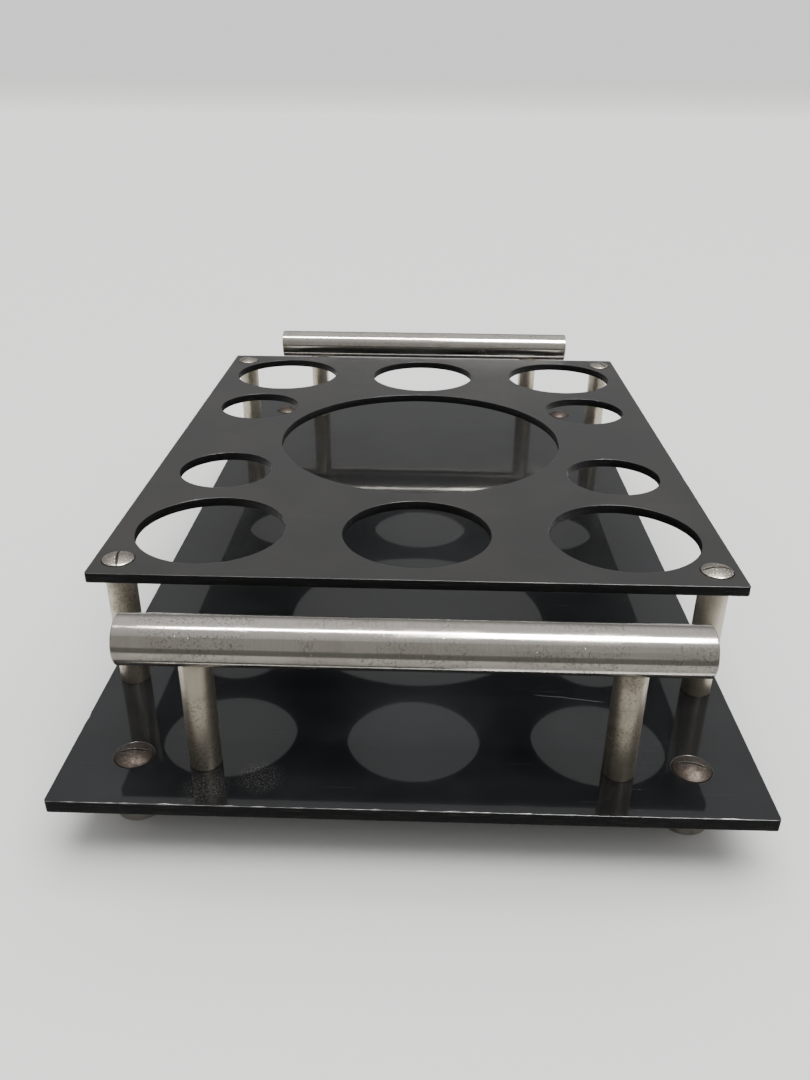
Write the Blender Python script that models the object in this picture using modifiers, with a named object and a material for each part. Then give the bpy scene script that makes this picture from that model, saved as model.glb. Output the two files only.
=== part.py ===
"""Two-deck vessel rack: a pierced deck on four posts above a base board with two bar handles.

Frame: +Z up, origin on the surface the four feet stand on, midway between them.
X runs across the rack, Y along it. All lengths are metres.
"""
import math

import bmesh
import bpy
from mathutils import Matrix, Vector

GAP = 0.0003                    # left between pieces that touch

# Base board and feet
BASE_WIDTH = 0.302
BASE_LENGTH = 0.529
BASE_THICKNESS = 0.0058
BASE_CORNER = 0.0015
FOOT_DIAMETER = 0.022
FOOT_HEIGHT = 0.0225
FOOT_X = 0.1220
FOOT_Y = 0.2345

# Pierced deck, which like the handles stands a little forward of the middle of the base
DECK_WIDTH = 0.300
DECK_LENGTH = 0.364
DECK_THICKNESS = 0.0048
DECK_CORNER = 0.0015
DECK_RISE = 0.066               # top of the base to top of the deck
DECK_SHIFT = -0.0080
CENTRE_HOLE = 0.172
LARGE_HOLE = 0.074
LARGE_HOLE_X = 0.1024
LARGE_HOLE_Y = 0.1335
SMALL_HOLE = 0.052
SMALL_HOLE_X = 0.1104
SMALL_HOLE_Y = 0.0570
POST_DIAMETER = 0.014
POST_X = 0.1385
POST_Y = 0.1675

# Handles
BAR_DIAMETER = 0.0216
BAR_LENGTH = 0.240
BAR_RISE = 0.0625               # top of the base to the bar's axis
STANDOFF_DIAMETER = 0.014
STANDOFF_X = 0.0895
HANDLE_Y = 0.2315
HANDLE_SHIFT = -0.0055

# Screws
SHANK_DIAMETER = 0.008
SHANK_HOLE = SHANK_DIAMETER + 2 * GAP
DECK_HEAD_DIAMETER = 0.0148
DECK_HEAD_DOME = 0.0022
DECK_SCREW_LENGTH = 0.030
DECK_SLOT_TURNS = {"front_left": 101, "front_right": 4, "rear_left": 38, "rear_right": 127}
FOOT_HEAD_DIAMETER = 0.0168
FOOT_HEAD_DOME = 0.0032
FOOT_SCREW_LENGTH = 0.019
FOOT_SLOT_TURNS = {"front_left": 8, "front_right": -14, "rear_left": 22, "rear_right": -5}
SLOT_WIDTH = 0.0016
SLOT_DEPTH = 0.0014
PAN_HEAD_DIAMETER = 0.0130
PAN_HEAD_HEIGHT = 0.0040
PAN_HEAD_EASE = 0.0010
PAN_SLOT_STEP = 35              # degrees from one hidden screw's slot to the next
SCREW_POINT = 0.0006            # chamfer on a screw's end
SCREW_END_ROOM = 0.0010         # free depth beyond a screw's end in a blind hole
POST_SCREW_REACH = 0.022        # into the post
BAR_SCREW_REACH = 0.012         # into the bar
BAR_SHANK_DIAMETER = 0.006
BAR_SHANK_HOLE = BAR_SHANK_DIAMETER + 2 * GAP

# Eased edges and the number of flats around each kind of round piece
POST_EASE = 0.0004
BAR_EASE = 0.0005
BAR_SIDES = 48
POST_SIDES = 24
FOOT_SIDES = 32
SCREW_SIDES = 20
HOLE_SIDES = 16

# Heights that follow from the sizes above
BASE_BOTTOM = FOOT_HEIGHT + GAP
BASE_TOP = BASE_BOTTOM + BASE_THICKNESS
DECK_TOP = BASE_TOP + DECK_RISE
DECK_BOTTOM = DECK_TOP - DECK_THICKNESS
BAR_Z = BASE_TOP + BAR_RISE
CUTTER_REACH = 0.004            # how far a cutter passes the faces it cuts

CORNERS = {
    "front_left": (-1, -1),
    "front_right": (1, -1),
    "rear_left": (-1, 1),
    "rear_right": (1, 1),
}


def clear_scene():
    """Remove every object that the file opened with."""
    for item in list(bpy.data.objects):
        bpy.data.objects.remove(item, do_unlink=True)


def new_collection(name):
    """Make a collection under the scene's own."""
    group = bpy.data.collections.new(name)
    bpy.context.scene.collection.children.link(group)
    return group


def make_material(name, colour, roughness, metallic):
    """Plain Principled material."""
    material = bpy.data.materials.new(name)
    material.use_nodes = True
    shader = material.node_tree.nodes["Principled BSDF"]
    shader.inputs["Base Color"].default_value = (*colour, 1.0)
    shader.inputs["Roughness"].default_value = roughness
    shader.inputs["Metallic"].default_value = metallic
    return material


def add_object(name, mesh, group, material=None):
    """Link a mesh as a named object, with its material."""
    item = bpy.data.objects.new(name, mesh)
    if material is not None:
        mesh.materials.clear()
        mesh.materials.append(material)
    group.objects.link(item)
    return item


def evaluated_copy(source, name):
    """A mesh of what the object looks like with its modifiers, in world space."""
    depsgraph = bpy.context.evaluated_depsgraph_get()
    mesh = bpy.data.meshes.new_from_object(source.evaluated_get(depsgraph))
    mesh.transform(source.matrix_world)
    mesh.name = name
    return mesh


def weld(mesh):
    """Join the points that lie on each other."""
    work = bmesh.new()
    work.from_mesh(mesh)
    bmesh.ops.remove_doubles(work, verts=work.verts, dist=1e-7)
    work.to_mesh(mesh)
    work.free()


def turned(name, profile, segments, group, material=None):
    """Turn a profile of (radius, height) points about Z with a Screw modifier."""
    mesh = bpy.data.meshes.new(name)
    points = [(radius, 0.0, height) for radius, height in profile]
    edges = [(i, i + 1) for i in range(len(points) - 1)]
    mesh.from_pydata(points, edges, [])
    item = add_object(name, mesh, group, material)
    screw = item.modifiers.new("Turn", "SCREW")
    screw.axis = "Z"
    screw.steps = segments
    screw.render_steps = segments
    screw.use_merge_vertices = True
    screw.merge_threshold = 0.00001
    screw.use_smooth_shade = False
    return item


def turned_ring(name, profile, segments, group, material=None):
    """Turn a closed profile, such as a tube's wall."""
    return turned(name, profile + [profile[0]], segments, group, material)


def cylinder_cutter(name, radius, bottom, top, place, segments, axis="Z"):
    """Plain cylinder that cuts between two heights, or along X when asked."""
    mesh = bpy.data.meshes.new(name)
    work = bmesh.new()
    bmesh.ops.create_cone(work, cap_ends=True, segments=segments,
                          radius1=radius, radius2=radius, depth=top - bottom)
    work.to_mesh(mesh)
    work.free()
    item = add_object(name, mesh, cutters)
    if axis == "X":
        item.rotation_euler = (0, math.pi / 2, 0)
        item.location = place
    else:
        item.location = (place[0], place[1], (bottom + top) / 2)
    return hide_cutter(item)


def sink_cutter(name, head_radius, top, bottom, place, segments):
    """Cutter for a screw hole with a 90 degree countersink at the top face."""
    mouth = head_radius + GAP
    hole = SHANK_HOLE / 2
    profile = [
        (0, top + CUTTER_REACH), (mouth, top + CUTTER_REACH), (mouth, top),
        (hole, top - (mouth - hole)), (hole, bottom - CUTTER_REACH), (0, bottom - CUTTER_REACH),
    ]
    item = turned(name, profile, segments, cutters)
    item.location = (place[0], place[1], 0)
    return hide_cutter(item)


def hide_cutter(item):
    """Show a cutter as wire and leave it out of the model."""
    item.hide_render = True
    item.display_type = "WIRE"
    return item


def join_cutters(name, items):
    """Join several cutters that stand apart into one object."""
    merged = bmesh.new()
    bpy.context.view_layer.update()
    for item in items:
        mesh = evaluated_copy(item, item.name + "_joined")
        merged.from_mesh(mesh)
        bpy.data.objects.remove(item, do_unlink=True)
    mesh = bpy.data.meshes.new(name)
    merged.to_mesh(mesh)
    merged.free()
    return hide_cutter(add_object(name, mesh, cutters))


def cut(item, cutter):
    """Take the cutter away from the object."""
    boolean = item.modifiers.new("Cut " + cutter.name, "BOOLEAN")
    boolean.operation = "DIFFERENCE"
    boolean.solver = "EXACT"
    boolean.object = cutter


def rounded_outline(curve, width, length, corner, steps):
    """Rectangle with small round corners, as one closed spline of a 2D curve."""
    points = []
    for index in range(4):
        start = index * math.pi / 2
        sign_x = 1 if index in (0, 3) else -1
        sign_y = 1 if index in (0, 1) else -1
        centre = Vector((sign_x * (width / 2 - corner), sign_y * (length / 2 - corner)))
        for step in range(steps + 1):
            turn = start + step * math.pi / 2 / steps
            points.append(centre + corner * Vector((math.cos(turn), math.sin(turn))))
    add_loop(curve, points)


def round_hole(curve, diameter, x, y, segments):
    """Round hole, as one more closed spline of the same curve."""
    turns = [2 * math.pi * step / segments for step in range(segments)]
    radius = diameter / 2
    add_loop(curve, [Vector((x + radius * math.cos(t), y + radius * math.sin(t))) for t in turns])


def add_loop(curve, points):
    """Closed straight-sided spline through the points."""
    spline = curve.splines.new("POLY")
    spline.points.add(len(points) - 1)
    for target, point in zip(spline.points, points):
        target.co = (point.x, point.y, 0, 1)
    spline.use_cyclic_u = True


def board(name, curve, thickness, bottom, group, material):
    """Flat board made by filling and extruding a 2D curve, welded into a mesh."""
    curve.dimensions = "2D"
    curve.fill_mode = "BOTH"
    curve.extrude = thickness / 2
    outline = bpy.data.objects.new(name + "_outline", curve)
    cutters.objects.link(outline)
    outline.location = (0, 0, bottom + thickness / 2)
    bpy.context.view_layer.update()
    mesh = evaluated_copy(outline, name)
    bpy.data.objects.remove(outline, do_unlink=True)
    weld(mesh)
    return add_object(name, mesh, group, material)


def deck_holes():
    """Every open hole of the deck: (diameter, x, y, segments)."""
    holes = [(CENTRE_HOLE, 0.0, 0.0, 72)]
    for side in (-1, 0, 1):
        for end in (-1, 1):
            holes.append((LARGE_HOLE, side * LARGE_HOLE_X, end * LARGE_HOLE_Y, 48))
    for side in (-1, 1):
        for end in (-1, 1):
            holes.append((SMALL_HOLE, side * SMALL_HOLE_X, end * SMALL_HOLE_Y, 36))
    return [(size, x, y + DECK_SHIFT, steps) for size, x, y, steps in holes]


def post_places():
    """Where the four posts and their screws stand."""
    return {key: (sx * POST_X, sy * POST_Y + DECK_SHIFT) for key, (sx, sy) in CORNERS.items()}


def foot_places():
    """Where the four feet and their screws stand."""
    return {key: (sx * FOOT_X, sy * FOOT_Y) for key, (sx, sy) in CORNERS.items()}


def standoff_places():
    """Where the four handle stand-offs and their screws stand."""
    return {key: (sx * STANDOFF_X, sy * HANDLE_Y + HANDLE_SHIFT)
            for key, (sx, sy) in CORNERS.items()}


def build_deck():
    """Pierced deck with eleven holes and four countersunk screw holes."""
    curve = bpy.data.curves.new("deck_outline", "CURVE")
    rounded_outline(curve, DECK_WIDTH, DECK_LENGTH, DECK_CORNER, 4)
    for target in curve.splines[0].points:
        target.co.y += DECK_SHIFT
    for size, x, y, steps in deck_holes():
        round_hole(curve, size, x, y, steps)
    deck = board("top_plate", curve, DECK_THICKNESS, DECK_BOTTOM, parts, laminate)
    sinks = [
        sink_cutter("deck_sink_" + key, DECK_HEAD_DIAMETER / 2,
                    DECK_TOP, DECK_BOTTOM, place, SCREW_SIDES)
        for key, place in post_places().items()
    ]
    cut(deck, join_cutters("deck_sinks", sinks))
    return deck


def build_base():
    """Solid base board with countersunk foot holes and plain holes for the hidden screws."""
    curve = bpy.data.curves.new("base_outline", "CURVE")
    rounded_outline(curve, BASE_WIDTH, BASE_LENGTH, BASE_CORNER, 4)
    base = board("base_plate", curve, BASE_THICKNESS, BASE_BOTTOM, parts, gloss_laminate)
    tools = [
        sink_cutter("base_sink_" + key, FOOT_HEAD_DIAMETER / 2,
                    BASE_TOP, BASE_BOTTOM, place, SCREW_SIDES)
        for key, place in foot_places().items()
    ]
    low = BASE_BOTTOM - CUTTER_REACH
    high = BASE_TOP + CUTTER_REACH
    for key, place in post_places().items():
        tools.append(cylinder_cutter("base_post_hole_" + key, SHANK_HOLE / 2, low, high,
                                     place, HOLE_SIDES))
    for key, place in standoff_places().items():
        tools.append(cylinder_cutter("base_bar_hole_" + key, BAR_SHANK_HOLE / 2, low, high,
                                     place, HOLE_SIDES))
    cut(base, join_cutters("base_holes", tools))
    return base


def tube_profile(outer, inner, bottom, top, ease):
    """Wall of a plain tube with eased outer ends; runs down the outside."""
    return [
        (outer - ease, top), (outer, top - ease), (outer, bottom + ease),
        (outer - ease, bottom), (inner, bottom), (inner, top),
    ]


def build_posts():
    """Four round posts, bored through and tapped at both ends."""
    for key, place in post_places().items():
        profile = tube_profile(POST_DIAMETER / 2, SHANK_HOLE / 2,
                               BASE_TOP + GAP, DECK_BOTTOM - GAP, POST_EASE)
        post = turned_ring("corner_post_" + key, profile, POST_SIDES, parts, aluminium)
        post.location = (*place, 0)


def build_standoffs():
    """Four tubular stand-offs, each coped at the top to sit under its bar."""
    copes = {}
    for end, label in ((-1, "front"), (1, "rear")):
        copes[label] = cylinder_cutter(
            "cope_" + label, BAR_DIAMETER / 2 + GAP, -BAR_LENGTH / 2, BAR_LENGTH / 2,
            (0, end * HANDLE_Y + HANDLE_SHIFT, BAR_Z), BAR_SIDES, axis="X")
    for key, place in standoff_places().items():
        profile = tube_profile(STANDOFF_DIAMETER / 2, BAR_SHANK_HOLE / 2,
                               BASE_TOP + GAP, BAR_Z - STANDOFF_DIAMETER / 4, POST_EASE)
        standoff = turned_ring("handle_standoff_" + key, profile, POST_SIDES, parts, aluminium)
        standoff.location = (*place, 0)
        cut(standoff, copes[key.split("_")[0]])


def build_bars():
    """Two handle bars with eased ends and blind screw holes underneath."""
    radius = BAR_DIAMETER / 2
    half = BAR_LENGTH / 2
    hole_top = BAR_Z - radius + BAR_SCREW_REACH + SCREW_END_ROOM
    profile = [(0, half), (radius - BAR_EASE, half), (radius, half - BAR_EASE),
               (radius, BAR_EASE - half), (radius - BAR_EASE, -half), (0, -half)]
    for end, label in ((-1, "front"), (1, "rear")):
        bar = turned("handle_bar_" + label, profile, BAR_SIDES, parts, aluminium)
        bar.rotation_euler = (0, math.pi / 2, 0)
        bar.location = (0, end * HANDLE_Y + HANDLE_SHIFT, BAR_Z)
        tools = []
        for side in (-1, 1):
            place = (side * STANDOFF_X, end * HANDLE_Y + HANDLE_SHIFT)
            tools.append(cylinder_cutter("bar_hole", BAR_SHANK_HOLE / 2,
                                         BAR_Z - radius - CUTTER_REACH, hole_top,
                                         place, HOLE_SIDES))
        cut(bar, join_cutters("bar_holes_" + label, tools))


def build_feet():
    """Four turned feet with a blind tapped hole from above."""
    radius = FOOT_DIAMETER / 2
    hole = SHANK_HOLE / 2
    floor = BASE_TOP - FOOT_SCREW_LENGTH - SCREW_END_ROOM
    profile = [
        (0, floor), (hole, floor), (hole, FOOT_HEIGHT), (radius - BAR_EASE, FOOT_HEIGHT),
        (radius, FOOT_HEIGHT - BAR_EASE), (radius, BAR_EASE), (radius - BAR_EASE, 0), (0, 0),
    ]
    for key, place in foot_places().items():
        foot = turned("foot_" + key, profile, FOOT_SIDES, parts, aluminium)
        foot.location = (*place, 0)


def dome_profile(head_radius, dome, shank_radius, length):
    """Raised countersunk screw: arc over the head, cone under it, plain shank."""
    rings = 3
    arc_radius = (head_radius ** 2 + dome ** 2) / (2 * dome)
    reach = math.asin(head_radius / arc_radius)
    points = [(0.0, dome)]
    for ring in range(1, rings + 1):
        turn = reach * ring / rings
        points.append((arc_radius * math.sin(turn), dome - arc_radius * (1 - math.cos(turn))))
    points.append((shank_radius, shank_radius - head_radius))
    points.append((shank_radius, SCREW_POINT - length))
    points.append((shank_radius - SCREW_POINT, -length))
    points.append((0.0, -length))
    return points


def slot_cutter(name, place, top, turn):
    """Straight saw-cut slot across a screw head."""
    mesh = bpy.data.meshes.new(name)
    work = bmesh.new()
    size = (FOOT_HEAD_DIAMETER * 1.5, SLOT_WIDTH, SLOT_DEPTH * 2)
    bmesh.ops.create_cube(work, size=1.0, matrix=Matrix.Diagonal((*size, 1.0)))
    work.to_mesh(mesh)
    work.free()
    item = add_object(name, mesh, cutters)
    item.location = (place[0], place[1], top)
    item.rotation_euler = (0, 0, math.radians(turn))
    return hide_cutter(item)


def build_domed_screws(prefix, places, turns, head_diameter, dome, length, face):
    """One slotted raised countersunk screw at each place, let into the face below it."""
    profile = dome_profile(head_diameter / 2, dome, SHANK_DIAMETER / 2, length)
    for key, place in places.items():
        item = turned(prefix + key, profile, SCREW_SIDES, parts, screw_steel)
        item.location = (*place, face)
        cut(item, slot_cutter(prefix + "slot_" + key, place, face + dome, turns[key]))


def build_pan_screws(prefix, places, shank_diameter, top):
    """Pan head screws driven up through the base from underneath."""
    head = PAN_HEAD_DIAMETER / 2
    shank = shank_diameter / 2
    under = BASE_BOTTOM - GAP
    low = under - PAN_HEAD_HEIGHT
    profile = [
        (0, top), (shank - SCREW_POINT, top), (shank, top - SCREW_POINT), (shank, under),
        (head, under), (head, low + PAN_HEAD_EASE), (head - PAN_HEAD_EASE, low), (0, low),
    ]
    for index, (key, place) in enumerate(places.items()):
        item = turned(prefix + key, profile, HOLE_SIDES, parts, screw_steel)
        item.location = (*place, 0)
        cut(item, slot_cutter(prefix + "slot_" + key, place, low, PAN_SLOT_STEP * index))


def build_rack():
    """Build every piece of the rack."""
    build_base()
    build_deck()
    build_posts()
    build_bars()
    build_standoffs()
    build_feet()
    build_domed_screws("top_screw_", post_places(), DECK_SLOT_TURNS,
                       DECK_HEAD_DIAMETER, DECK_HEAD_DOME, DECK_SCREW_LENGTH, DECK_TOP)
    build_domed_screws("foot_screw_", foot_places(), FOOT_SLOT_TURNS,
                       FOOT_HEAD_DIAMETER, FOOT_HEAD_DOME, FOOT_SCREW_LENGTH, BASE_TOP)
    build_pan_screws("post_screw_", post_places(), SHANK_DIAMETER,
                     BASE_TOP + POST_SCREW_REACH)
    build_pan_screws("handle_screw_", standoff_places(), BAR_SHANK_DIAMETER,
                     BAR_Z - BAR_DIAMETER / 2 + BAR_SCREW_REACH)


clear_scene()
parts = new_collection("vessel_rack")
cutters = new_collection("cutters")
laminate = make_material("satin black laminate", (0.030, 0.030, 0.029), 0.42, 0.0)
gloss_laminate = make_material("gloss black laminate", (0.014, 0.016, 0.019), 0.12, 0.0)
aluminium = make_material("brushed aluminium", (0.62, 0.60, 0.57), 0.30, 1.0)
screw_steel = make_material("tarnished screw steel", (0.24, 0.20, 0.17), 0.38, 1.0)
build_rack()
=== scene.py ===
"""Finished look of a two-deck vessel rack, built round its packed frame.

A gloss base board on four turned feet carries a satin pierced deck on four posts, and a round
bar handle on two stand-offs at each end. All lengths are metres in the frame's own axes.
"""

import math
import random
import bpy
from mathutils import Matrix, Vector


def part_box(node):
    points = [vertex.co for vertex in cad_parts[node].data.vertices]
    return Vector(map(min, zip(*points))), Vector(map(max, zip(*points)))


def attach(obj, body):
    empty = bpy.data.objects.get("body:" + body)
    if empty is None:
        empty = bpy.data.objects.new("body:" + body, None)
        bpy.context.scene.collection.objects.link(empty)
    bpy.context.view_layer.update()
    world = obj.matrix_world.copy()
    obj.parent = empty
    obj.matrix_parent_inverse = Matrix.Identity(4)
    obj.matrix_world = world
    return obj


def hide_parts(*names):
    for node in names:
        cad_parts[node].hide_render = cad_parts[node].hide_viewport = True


bl_info = {
    "name": "Two-Deck Vessel Rack",
    "version": (1, 0, 0),
    "blender": (4, 5, 0),
    "location": "3D View > Sidebar > Vessel Rack",
    "description": "Builds the boards, posts, handles and screws of a two-deck vessel rack",
    "category": "Add Mesh",
}

import bmesh
import bpy
from bpy.props import FloatProperty, FloatVectorProperty, IntProperty, PointerProperty
from mathutils import Matrix, Vector

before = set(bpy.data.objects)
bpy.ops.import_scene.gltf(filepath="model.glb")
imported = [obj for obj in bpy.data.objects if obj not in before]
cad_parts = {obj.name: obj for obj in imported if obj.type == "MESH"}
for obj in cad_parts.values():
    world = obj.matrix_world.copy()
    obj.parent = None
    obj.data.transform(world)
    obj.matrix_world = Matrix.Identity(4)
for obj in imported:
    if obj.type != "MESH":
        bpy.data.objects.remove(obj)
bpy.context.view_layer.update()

BODY = "root"
CORNERS = ("front_left", "front_right", "rear_left", "rear_right")
FULL_TURN = 2 * math.pi

# How many degrees each slot is turned, in the order of the corners
DECK_SCREW_TURNS = (101, 4, 38, 127)
FOOT_SCREW_TURNS = (8, -14, 22, -5)
HIDDEN_SCREW_TURNS = (0, 35, 70, 105)

# How far a screw's head rim stands above the board it is sunk in
DECK_SCREW_LAND = 0.00045
FOOT_SCREW_LAND = 0.00020


# ---------------------------------------------------------------- places read from the frame

def low(node):
    """Lowest corner of a frame node."""
    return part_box(node)[0]


def high(node):
    """Highest corner of a frame node."""
    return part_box(node)[1]


def middle(node):
    """Middle of a frame node's box."""
    return (low(node) + high(node)) / 2


def span(node):
    """Size of a frame node's box."""
    return high(node) - low(node)


def corner_nodes(stem):
    """The four nodes of a set that has one at each corner."""
    return [stem + "_" + corner for corner in CORNERS]


def set_spread(stem):
    """Half the distance between a set's corners across and along, and its middle along."""
    left, right = middle(stem + "_front_left"), middle(stem + "_rear_right")
    return (right.x - left.x) / 2, (right.y - left.y) / 2, (right.y + left.y) / 2


def linear(code):
    """Linear RGB of an sRGB hex colour."""
    parts = [int(code[i:i + 2], 16) / 255 for i in (1, 3, 5)]
    return tuple(c / 12.92 if c <= 0.04045 else ((c + 0.055) / 1.055) ** 2.4 for c in parts)


# ---------------------------------------------------------------- settings

def length_setting(name, description, default):
    """A length a user may change."""
    return FloatProperty(name=name, description=description, default=default,
                         min=0.0, precision=5, unit="LENGTH")


def colour_setting(name, description, code):
    """A colour a user may change."""
    return FloatVectorProperty(name=name, description=description, default=linear(code),
                               size=3, min=0.0, max=1.0, subtype="COLOR")


class VesselRackBoardSettings(bpy.types.PropertyGroup):
    """Sizes of the two boards that the frame's boxes don't give."""

    corner_radius: length_setting("Corner radius", "Rounding of each board's plan corners", 0.0015)
    deck_arris: length_setting("Deck arris", "Rounding of the deck's edges", 0.00022)
    base_arris: length_setting("Base arris", "Rounding of the base's edges", 0.00020)
    centre_hole: length_setting("Centre hole", "Diameter of the deck's centre hole", 0.172)
    large_hole: length_setting("Large holes", "Diameter of the six large holes", 0.074)
    large_across: length_setting("Large hole X", "Large holes' distance from the middle", 0.1024)
    large_along: length_setting("Large hole Y", "Large holes' distance from the middle", 0.1335)
    small_hole: length_setting("Small holes", "Diameter of the four small holes", 0.052)
    small_across: length_setting("Small hole X", "Small holes' distance from the middle", 0.1104)
    small_along: length_setting("Small hole Y", "Small holes' distance from the middle", 0.0570)
    nick_depth: length_setting("Nick depth", "Deepest chip in the base's front edge", 0.0006)
    nick_seed: IntProperty(name="Nick seed", description="Seed of the chipped edges", default=7)


class VesselRackScrewSettings(bpy.types.PropertyGroup):
    """Sizes of the screws that the frame's boxes don't give."""

    shank: length_setting("Shank", "Diameter of the deck, foot and post screws", 0.008)
    bar_shank: length_setting("Bar screw shank", "Diameter of the screws into the bars", 0.006)
    pitch: length_setting("Thread pitch", "Distance between threads", 0.00125)
    thread_depth: length_setting("Thread depth", "Depth of a thread", 0.00060)
    slot_width: length_setting("Slot width", "Width of a screw's slot", 0.0011)
    slot_depth: length_setting("Slot depth", "Depth of a slot below the head's crown", 0.0014)
    deck_dome: length_setting("Deck screw dome", "Rise of a deck screw's crown", 0.0022)
    foot_dome: length_setting("Foot screw dome", "Rise of a foot screw's crown", 0.0032)
    pan_height: length_setting("Pan head height", "Height of a hidden screw's head", 0.0040)
    clearance: length_setting("Clearance", "Gap between a screw and its hole", 0.0003)


class VesselRackFinishSettings(bpy.types.PropertyGroup):
    """Colours of the finishes."""

    deck: colour_setting("Deck", "Satin black laminate", "#161615")
    deck_tint: colour_setting("Deck tint", "Brownish cast in the laminate", "#201d1b")
    base: colour_setting("Base", "Gloss black laminate", "#07090c")
    edge: colour_setting("Sawn edge", "Sawn edges of both boards", "#0c0c0d")
    # The pale core is also the paint on arrises, countersink rims and slot lips, which is partly
    # wear and partly painted highlight.
    core: colour_setting("Core", "Pale core shown where an arris is worn", "#8d8b87")
    dust: colour_setting("Dust", "Dust and scuffed laminate", "#6f6e6a")
    film: colour_setting("Film", "Bluish haze left by wiping", "#7a8087")
    aluminium: colour_setting("Aluminium", "Clean drawn aluminium", "#b6b2ab")
    tarnish: colour_setting("Tarnish", "Dulled aluminium", "#8f887c")
    post: colour_setting("Posts", "Drawn aluminium, slightly yellowed", "#bdb5a6")
    post_tarnish: colour_setting("Dull posts", "Dulled patches and lines of the posts", "#958d7e")
    pit: colour_setting("Pits", "Corroded specks in the aluminium", "#3a362f")
    screw: colour_setting("Deck screws", "Tarnished plated steel", "#9a948b")
    screw_dark: colour_setting("Dark screw", "Darker tarnish on the plated steel", "#5d5850")
    grime: colour_setting("Grime", "Dirt in slots and round heads", "#1c1916")
    rust: colour_setting("Rust", "Brown surface rust", "#3b3129")
    rust_dark: colour_setting("Dark rust", "Older rust", "#241c17")
    rust_bright: colour_setting("Bare steel", "Steel rubbed bright through rust", "#6f6354")


class VesselRackStageSettings(bpy.types.PropertyGroup):
    """Camera, floor and lights."""

    camera_place: FloatVectorProperty(
        name="Camera place", description="Where the camera stands", size=3,
        default=(0.00374, -0.54509, 0.29493), subtype="TRANSLATION", unit="LENGTH")
    camera_turn: FloatVectorProperty(
        name="Camera turn", description="How the camera is turned", size=3,
        default=tuple(math.radians(a) for a in (63.103, -0.473, 1.595)), subtype="EULER")
    lens: FloatProperty(name="Lens", description="Focal length in millimetres on a 36 mm frame",
                        default=30.29, min=1.0)
    floor: colour_setting("Floor", "Plain pale floor", "#fafaf8")
    backdrop: FloatProperty(name="Backdrop", description="Brightness of the plain backdrop",
                            default=1.05, min=0.0)
    beyond_low: FloatProperty(name="Beyond, low", default=0.34, min=0.0,
                              description="Surround beyond the rack, near the horizon")
    beyond_high: FloatProperty(name="Beyond, high", default=1.00, min=0.0,
                               description="Surround beyond the rack, high up")
    behind_low: FloatProperty(name="Behind, low", default=0.24, min=0.0,
                              description="Surround behind the camera, near the horizon")
    behind_high: FloatProperty(name="Behind, high", default=0.75, min=0.0,
                               description="Surround behind the camera, high up")
    strip: FloatProperty(name="Overhead strip", description="Power of the narrow overhead softbox",
                         default=105.0, min=0.0, unit="POWER")
    panel: FloatProperty(name="Overhead panel", description="Power of the wide overhead softbox",
                         default=160.0, min=0.0, unit="POWER")
    low_strip: FloatProperty(name="Low strip", description="Power of the strip behind the camera",
                             default=5.0, min=0.0, unit="POWER")
    fill: FloatProperty(name="Fill", description="Strength of the wide fill from above",
                        default=3.0, min=0.0)
    low_flag: colour_setting("Low flag", "Dark card on the floor in front", "#5a5a58")
    near_flag: colour_setting("Near flag", "Pale card on the floor close to the rack", "#b4b3b0")
    high_flag: colour_setting("High flag", "Grey card behind the camera", "#9c9b99")


SETTINGS = {
    "vessel_rack_boards": VesselRackBoardSettings,
    "vessel_rack_screws": VesselRackScrewSettings,
    "vessel_rack_finishes": VesselRackFinishSettings,
    "vessel_rack_stage": VesselRackStageSettings,
}


def boards():
    """Board settings of this scene."""
    return bpy.context.scene.vessel_rack_boards


def screws():
    """Screw settings of this scene."""
    return bpy.context.scene.vessel_rack_screws


def finishes():
    """Finish settings of this scene."""
    return bpy.context.scene.vessel_rack_finishes


# ---------------------------------------------------------------- finishes

def add_node(tree, kind, links=None, **settings):
    """Add a shader or geometry node with its settings, and set or link its inputs."""
    item = tree.nodes.new(kind)
    for key, value in settings.items():
        setattr(item, key, value)
    for name, value in (links or {}).items():
        socket = item.inputs[name]
        if isinstance(value, bpy.types.NodeSocket):
            tree.links.new(value, socket)
        elif socket.type == "RGBA":
            socket.default_value = (*value[:3], 1.0)
        else:
            socket.default_value = value
    return item


def start_material(name, metallic=0.0, specular=None):
    """New material with a bare Principled shader; returns (material, tree, shader)."""
    material = bpy.data.materials.new(name)
    material.use_nodes = True
    tree = material.node_tree
    shader = tree.nodes["Principled BSDF"]
    shader.inputs["Metallic"].default_value = metallic
    if specular is not None:
        shader.inputs["Specular IOR Level"].default_value = specular
    return material, tree, shader


def object_place(tree, stretch=(1, 1, 1), turn=0.0):
    """Object coordinates, in metres, stretched and turned about Z for a pattern."""
    place = add_node(tree, "ShaderNodeTexCoord").outputs["Object"]
    return add_node(tree, "ShaderNodeMapping",
                    {"Vector": place, "Scale": stretch,
                     "Rotation": (0, 0, math.radians(turn))}).outputs["Vector"]


def patches(tree, size, edges=None, detail=3.0, gain=0.5, stretch=(1, 1, 1), levels=(0.0, 1.0)):
    """Soft patches about size metres across, cut between two edges or left as they are."""
    noise = add_node(tree, "ShaderNodeTexNoise",
                     {"Vector": object_place(tree, stretch), "Scale": 1 / size,
                      "Detail": detail, "Roughness": gain}).outputs["Fac"]
    if edges is None:
        return noise
    return add_node(tree, "ShaderNodeMapRange",
                    {"Value": noise, "From Min": edges[0], "From Max": edges[1],
                     "To Min": levels[0], "To Max": levels[1]},
                    interpolation_type="SMOOTHSTEP").outputs["Result"]


def on_part(tree, key, mask=1.0):
    """A mask kept to the part of the mesh that an attribute marks."""
    part = add_node(tree, "ShaderNodeAttribute", attribute_name=key).outputs["Fac"]
    return add_node(tree, "ShaderNodeMath", {0: part, 1: mask}, operation="MULTIPLY").outputs[0]


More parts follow.
